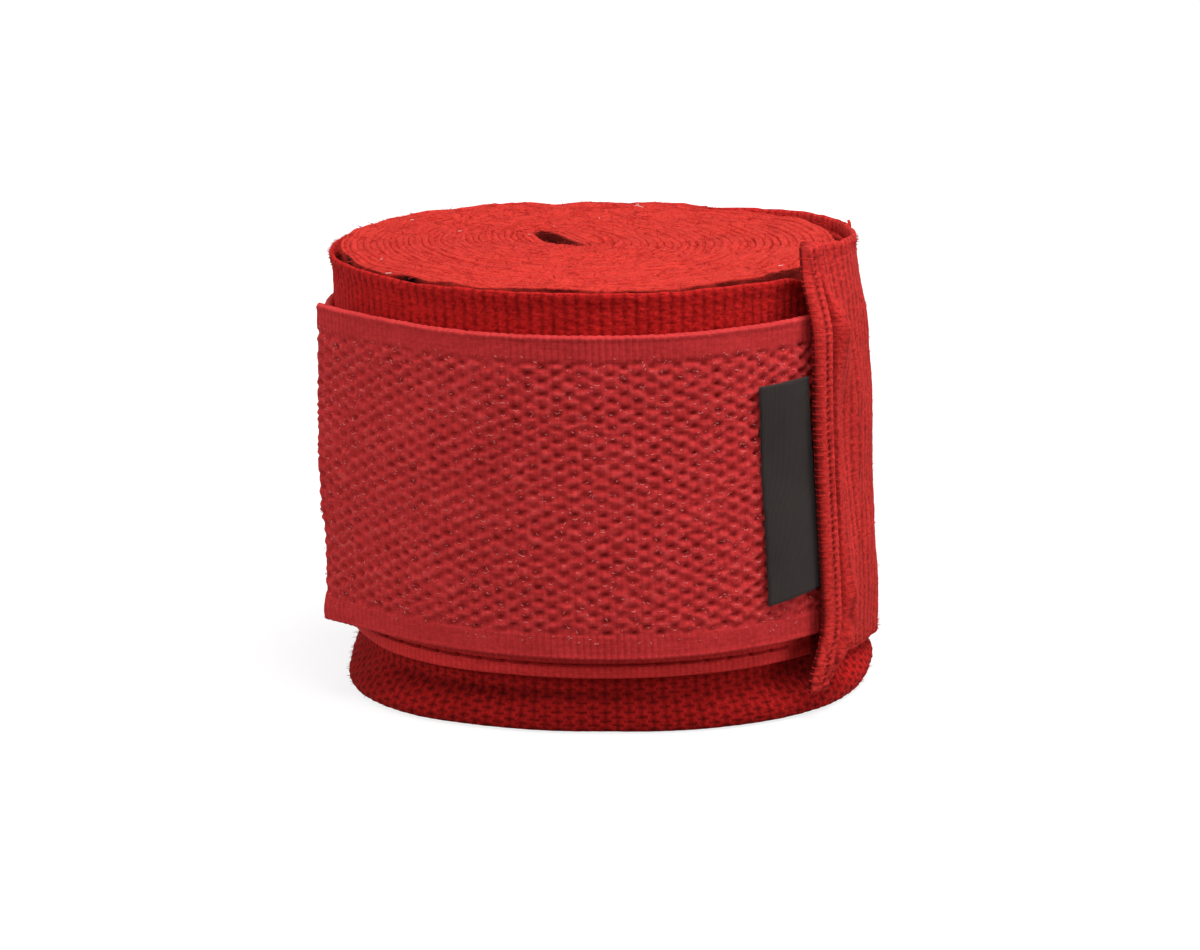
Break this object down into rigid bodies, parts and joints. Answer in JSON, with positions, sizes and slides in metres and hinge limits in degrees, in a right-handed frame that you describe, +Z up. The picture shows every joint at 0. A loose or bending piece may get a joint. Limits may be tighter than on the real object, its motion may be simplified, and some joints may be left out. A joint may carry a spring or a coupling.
{
  "type": "hand wrap",
  "caption": "Rolled elastic hand wrap for boxing: a long knitted band wound into a roll and held shut by a hook-and-loop tape closure.",
  "frame": {"origin": "centre of the bounding box's base, on the surface that the roll stands on", "axes": "+Z up along the roll's axis, -Y towards the closure, +X towards the hem side of the closure"},
  "size_m": [0.062, 0.0632, 0.0512],
  "materials": {
    "band": "knitted elastic, matt and fuzzy",
    "hook_tape": "woven tape with small nylon hooks",
    "loop_tape": "woven tape with a brushed loop face",
    "thread": "matt polyester thread",
    "tag": "plain woven label, matt"
  },
  "bodies": {
    "roll": {"wrap_band": "band", "inner_end_overlock": "thread", "thumb_loop": "band", "thumb_loop_bartack": "thread", "loop_tape": "loop_tape", "loop_tape_upper_stitching": "thread", "loop_tape_lower_stitching": "thread"},
    "closure": {"band_tail": "band", "hem_overlock": "thread", "hem_seam_thread": "thread", "hook_tape": "hook_tape"},
    "tag": {"size_tag": "tag"}
  },
  "joints": [
    {"name": "closure_peel", "type": "hinge", "parent": "roll", "child": "closure", "pos_m": [0.03101, 0.00227, 0.0256], "axis": [0, 0, 1], "range_deg": [0, 110]},
    {"name": "tag_flip", "type": "hinge", "parent": "closure", "child": "tag", "pos_m": [0.02408, -0.02265, 0.02675], "axis": [0, 0, 1], "range_deg": [0, 90]}
  ]
}
